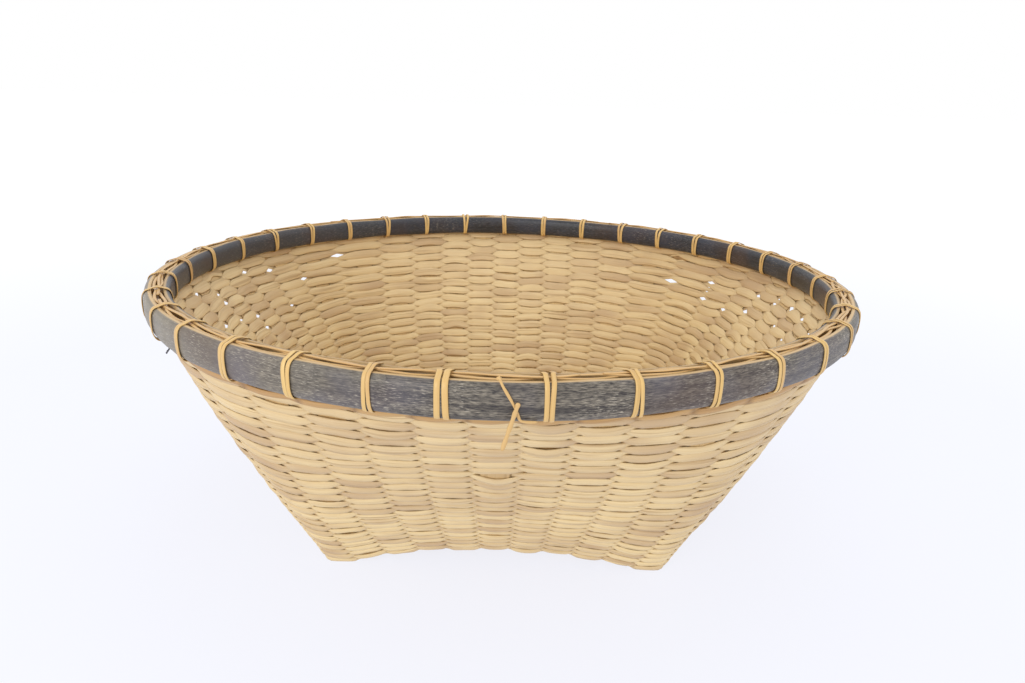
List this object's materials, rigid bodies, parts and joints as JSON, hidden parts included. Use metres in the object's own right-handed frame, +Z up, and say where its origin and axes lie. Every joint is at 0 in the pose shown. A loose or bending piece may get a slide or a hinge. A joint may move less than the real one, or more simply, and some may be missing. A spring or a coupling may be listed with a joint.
{
  "type": "winnowing basket",
  "caption": "Woven bamboo winnowing basket with a square arched base, flaring walls and a round rim clamped between lashed bamboo hoops.",
  "frame": {"origin": "on the floor, below the middle of the basket", "axes": "+Z up; the side with the loose tie faces -Y; +X to the right of someone who looks at that side"},
  "size_m": [0.5018, 0.5051, 0.1907],
  "materials": {
    "stake_bamboo": "dry split bamboo",
    "weft_bamboo": "dry split bamboo, rounded splits",
    "hoop_bamboo": "weathered smoked bamboo",
    "lashing_cane": "satin cane skin"
  },
  "bodies": {
    "root": {"base_strip_front_back_01": "stake_bamboo", "base_strip_left_right_01": "stake_bamboo", "base_strip_front_back_02": "stake_bamboo", "base_strip_left_right_02": "stake_bamboo", "base_strip_front_back_03": "stake_bamboo", "base_strip_left_right_03": "stake_bamboo", "base_strip_front_back_04": "stake_bamboo", "base_strip_left_right_04": "stake_bamboo", "base_strip_front_back_05": "stake_bamboo", "base_strip_left_right_05": "stake_bamboo", "base_strip_front_back_06": "stake_bamboo", "base_strip_left_right_06": "stake_bamboo", "base_strip_front_back_07": "stake_bamboo", "base_strip_left_right_07": "stake_bamboo", "base_strip_front_back_08": "stake_bamboo", "base_strip_left_right_08": "stake_bamboo", "base_strip_front_back_09": "stake_bamboo", "base_strip_left_right_09": "stake_bamboo", "base_strip_front_back_10": "stake_bamboo", "base_strip_left_right_10": "stake_bamboo", "base_strip_front_back_11": "stake_bamboo", "base_strip_left_right_11": "stake_bamboo", "weft_band_1": "weft_bamboo", "weft_band_2": "weft_bamboo", "weft_band_3": "weft_bamboo", "weft_band_4": "weft_bamboo", "weft_band_rim": "weft_bamboo", "outer_hoop": "hoop_bamboo", "inner_hoop": "hoop_bamboo", "outer_binder": "lashing_cane", "inner_binder": "lashing_cane", "lashing_cane_1": "lashing_cane", "lashing_cane_2": "lashing_cane", "lashing_cane_3": "lashing_cane", "lashing_cane_4": "lashing_cane", "lashing_cane_5": "lashing_cane", "loose_tie_strand": "lashing_cane", "loose_tie_splint": "lashing_cane"}
  },
  "joints": []
}
